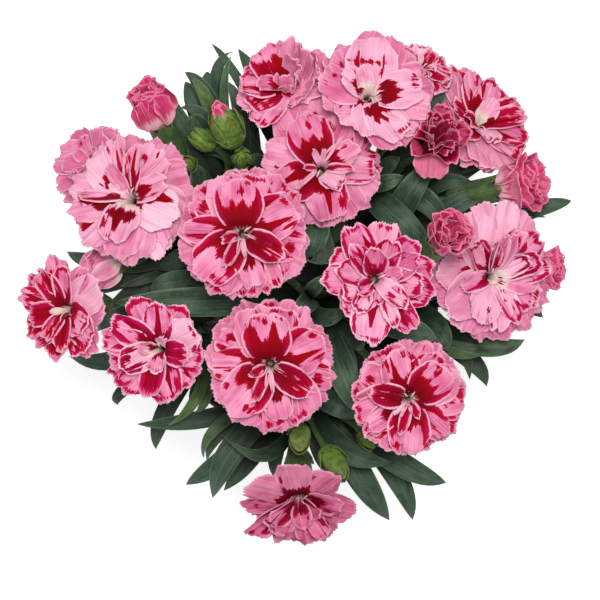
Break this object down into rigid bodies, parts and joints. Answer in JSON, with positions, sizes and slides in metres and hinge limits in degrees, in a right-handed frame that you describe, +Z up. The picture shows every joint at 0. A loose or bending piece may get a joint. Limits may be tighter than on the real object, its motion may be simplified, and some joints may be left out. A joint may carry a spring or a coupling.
{
  "type": "potted dianthus plant",
  "caption": "Compact dianthus plant in a round nursery pot, with narrow paired leaves and a dome of ruffled two-colour double flowers and buds.",
  "frame": {"origin": "middle of the pot's flat base", "axes": "+Z up, out of the pot; +X to the right and +Y to the top of the plant as seen from straight above"},
  "size_m": [0.2046, 0.1872, 0.2137],
  "materials": {
    "pot_plastic": "matt moulded dark grey plastic",
    "soil": "damp crumbly potting compost",
    "leaf_and_stem": "waxy blue-green leaf with a fine bloom",
    "calyx_green": "smooth satin green",
    "bud_green": "smooth satin yellow-green",
    "petal_pink": "soft velvety pale pink petal with crimson flecks",
    "petal_opening": "soft velvety deep pink petal",
    "petal_crimson": "soft velvety crimson petal"
  },
  "bodies": {
    "root": {"pot": "pot_plastic", "potting_soil": "soil", "shoot_west_upper": "leaf_and_stem", "shoot_north_west": "leaf_and_stem", "shoot_north": "leaf_and_stem", "shoot_north_east": "leaf_and_stem", "shoot_east_upper": "leaf_and_stem", "shoot_east": "leaf_and_stem", "shoot_centre": "leaf_and_stem", "shoot_west": "leaf_and_stem", "shoot_south": "leaf_and_stem", "calyx_01": "calyx_green", "petals_01": "petal_pink", "calyx_02": "calyx_green", "petals_02": "petal_pink", "calyx_03": "calyx_green", "petals_03": "petal_pink", "calyx_04": "calyx_green", "petals_04": "petal_pink", "calyx_05": "calyx_green", "petals_05": "petal_pink", "calyx_06": "calyx_green", "petals_06": "petal_pink", "calyx_07": "calyx_green", "petals_07": "petal_crimson", "calyx_08": "calyx_green", "petals_08": "petal_pink", "calyx_09": "calyx_green", "petals_09": "petal_opening", "calyx_10": "calyx_green", "petals_10": "petal_opening", "calyx_11": "calyx_green", "petals_11": "petal_pink", "calyx_12": "calyx_green", "petals_12": "petal_opening", "calyx_13": "calyx_green", "petals_13": "petal_pink", "calyx_14": "calyx_green", "petals_14": "petal_pink", "calyx_15": "calyx_green", "petals_15": "petal_pink", "calyx_16": "calyx_green", "petals_16": "petal_pink", "calyx_17": "calyx_green", "petals_17": "petal_pink", "calyx_18": "calyx_green", "petals_18": "petal_opening", "calyx_19": "calyx_green", "petals_19": "petal_pink", "calyx_20": "calyx_green", "petals_20": "petal_opening", "calyx_21": "calyx_green", "petals_21": "petal_pink", "bud_1": "bud_green", "bud_2": "bud_green", "bud_3": "bud_green", "bud_4": "bud_green", "bud_5": "bud_green", "bud_6": "bud_green", "bud_7": "bud_green"}
  },
  "joints": []
}
